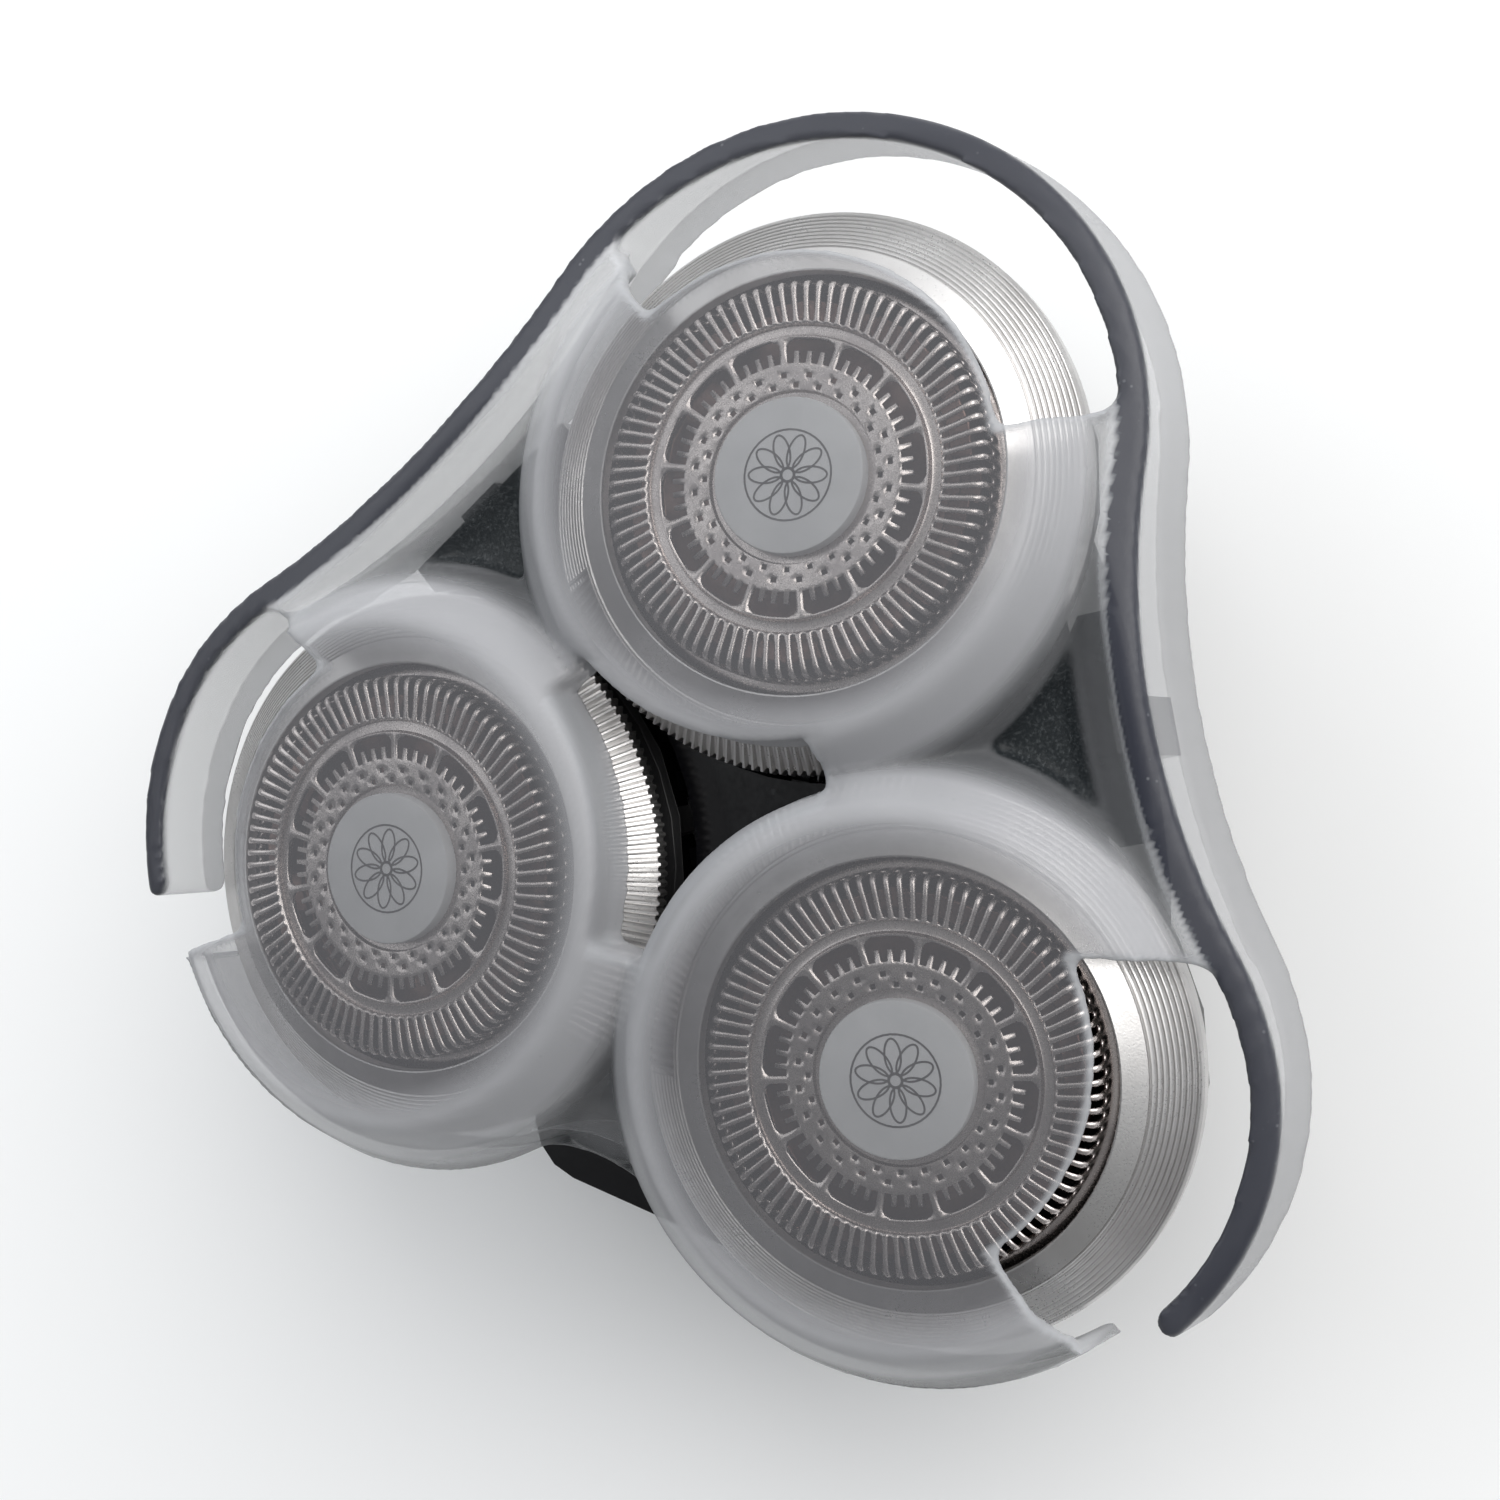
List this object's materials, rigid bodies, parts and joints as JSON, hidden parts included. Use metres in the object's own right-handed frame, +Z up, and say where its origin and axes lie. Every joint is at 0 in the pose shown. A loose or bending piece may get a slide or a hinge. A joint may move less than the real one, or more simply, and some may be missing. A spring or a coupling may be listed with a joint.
{
  "type": "rotary shaver head unit",
  "caption": "Detachable shaving unit of a rotary electric shaver: sprung tilting heads with slotted guards and spinning cutters on a geared base, under a smoky clip-on cap.",
  "frame": {"origin": "middle of the object's box in X and Y, at the foot of the coupling housing; the drive axis runs parallel to Z at y = -6.635 mm", "axes": "+Z up, out of the guards; +Y towards the single top head; +X towards the right-hand lower head"},
  "size_m": [0.0752, 0.0678, 0.0378],
  "materials": {
    "smoke": "translucent smoke plastic, lightly frosted",
    "gloss_black": "gloss black",
    "satin_black": "satin black",
    "silver": "satin silver plating, ridged",
    "guard": "polished stainless steel, slotted",
    "badge": "matte pale grey disc with a plain dark rosette",
    "blade": "ground steel",
    "pin": "bright steel",
    "acetal": "natural acetal"
  },
  "bodies": {
    "base": {"base_cover": "gloss_black", "gear_plate": "satin_black", "coupling_housing": "satin_black", "head_carrier": "gloss_black", "pivot_pin_top": "pin", "pivot_pin_left": "pin", "pivot_pin_right": "pin", "gear_axle_top": "pin", "gear_axle_left": "pin", "gear_axle_right": "pin", "screw_right": "pin", "screw_left": "pin", "screw_bottom": "pin"},
    "drive": {"drive_gear": "acetal", "drive_coupling": "satin_black"},
    "head_top": {"hair_chamber_top": "satin_black", "retaining_ring_top": "satin_black", "silver_ring_top": "silver"},
    "shaving_guard_top": {"guard_top": "guard", "guard_badge_top": "badge"},
    "cutter_top": {"cutter_top": "blade", "drive_spindle_top": "acetal"},
    "gear_top": {"driven_gear_top": "acetal", "spindle_spring_top": "pin"},
    "head_left": {"hair_chamber_left": "satin_black", "retaining_ring_left": "satin_black", "silver_ring_left": "silver"},
    "shaving_guard_left": {"guard_left": "guard", "guard_badge_left": "badge"},
    "cutter_left": {"cutter_left": "blade", "drive_spindle_left": "acetal"},
    "gear_left": {"driven_gear_left": "acetal", "spindle_spring_left": "pin"},
    "head_right": {"hair_chamber_right": "satin_black", "retaining_ring_right": "satin_black", "silver_ring_right": "silver"},
    "shaving_guard_right": {"guard_right": "guard", "guard_badge_right": "badge"},
    "cutter_right": {"cutter_right": "blade", "drive_spindle_right": "acetal"},
    "gear_right": {"driven_gear_right": "acetal", "spindle_spring_right": "pin"},
    "cap": {"protective_cap": "smoke"}
  },
  "joints": [
    {"name": "cap_lift", "type": "slide", "parent": "base", "child": "cap", "axis": [0, 0, 1], "range_m": [0, 0.03]},
    {"name": "drive_spin", "type": "hinge", "parent": "base", "child": "drive", "pos_m": [0, -0.00664, 0.034], "axis": [0, 0, 1], "continuous": true},
    {"name": "head_tilt_top", "type": "hinge", "parent": "base", "child": "head_top", "pos_m": [0, -0.00344, 0.0235], "axis": [-1, 0, 0], "range_deg": [0, 5], "stiffness_Nm_per_rad": 0.06, "springref_deg": -14.32, "deforming": ["spindle_spring_top"]},
    {"name": "guard_float_top", "type": "slide", "parent": "head_top", "child": "shaving_guard_top", "axis": [0, -0.1219, -0.9925], "range_m": [0, 0.0008], "stiffness_N_per_m": 400, "springref_m": -0.0012, "deforming": ["spindle_spring_top"]},
    {"name": "driven_gear_spin_top", "type": "hinge", "parent": "base", "child": "gear_top", "pos_m": [0, 0.01056, 0.012], "axis": [0, 0, 1], "continuous": true},
    {"name": "cutter_spin_top", "type": "hinge", "parent": "shaving_guard_top", "child": "cutter_top", "pos_m": [0, 0.0128, 0.034], "axis": [0, 0.1219, 0.9925], "continuous": true},
    {"name": "head_tilt_left", "type": "hinge", "parent": "base", "child": "head_left", "pos_m": [-0.00277, -0.00823, 0.0235], "axis": [0.5, -0.866, 0], "range_deg": [0, 5], "stiffness_Nm_per_rad": 0.06, "springref_deg": -14.32, "deforming": ["spindle_spring_left"]},
    {"name": "guard_float_left", "type": "slide", "parent": "head_left", "child": "shaving_guard_left", "axis": [0.1055, 0.0609, -0.9925], "range_m": [0, 0.0008], "stiffness_N_per_m": 400, "springref_m": -0.0012, "deforming": ["spindle_spring_left"]},
    {"name": "driven_gear_spin_left", "type": "hinge", "parent": "base", "child": "gear_left", "pos_m": [-0.0149, -0.01524, 0.012], "axis": [0, 0, 1], "continuous": true},
    {"name": "cutter_spin_left", "type": "hinge", "parent": "shaving_guard_left", "child": "cutter_left", "pos_m": [-0.01683, -0.01635, 0.034], "axis": [-0.1055, -0.0609, 0.9925], "continuous": true},
    {"name": "head_tilt_right", "type": "hinge", "parent": "base", "child": "head_right", "pos_m": [0.00277, -0.00823, 0.0235], "axis": [0.5, 0.866, 0], "range_deg": [0, 5], "stiffness_Nm_per_rad": 0.06, "springref_deg": -14.32, "deforming": ["spindle_spring_right"]},
    {"name": "guard_float_right", "type": "slide", "parent": "head_right", "child": "shaving_guard_right", "axis": [-0.1055, 0.0609, -0.9925], "range_m": [0, 0.0008], "stiffness_N_per_m": 400, "springref_m": -0.0012, "deforming": ["spindle_spring_right"]},
    {"name": "driven_gear_spin_right", "type": "hinge", "parent": "base", "child": "gear_right", "pos_m": [0.0149, -0.01524, 0.012], "axis": [0, 0, 1], "continuous": true},
    {"name": "cutter_spin_right", "type": "hinge", "parent": "shaving_guard_right", "child": "cutter_right", "pos_m": [0.01683, -0.01635, 0.034], "axis": [0.1055, -0.0609, 0.9925], "continuous": true}
  ],
  "couplings": [
    {"joint": "driven_gear_spin_top", "follows": "drive_spin", "ratio": -1.6875},
    {"joint": "cutter_spin_top", "follows": "drive_spin", "ratio": -1.6875},
    {"joint": "driven_gear_spin_left", "follows": "drive_spin", "ratio": -1.6875},
    {"joint": "cutter_spin_left", "follows": "drive_spin", "ratio": -1.6875},
    {"joint": "driven_gear_spin_right", "follows": "drive_spin", "ratio": -1.6875},
    {"joint": "cutter_spin_right", "follows": "drive_spin", "ratio": -1.6875}
  ]
}
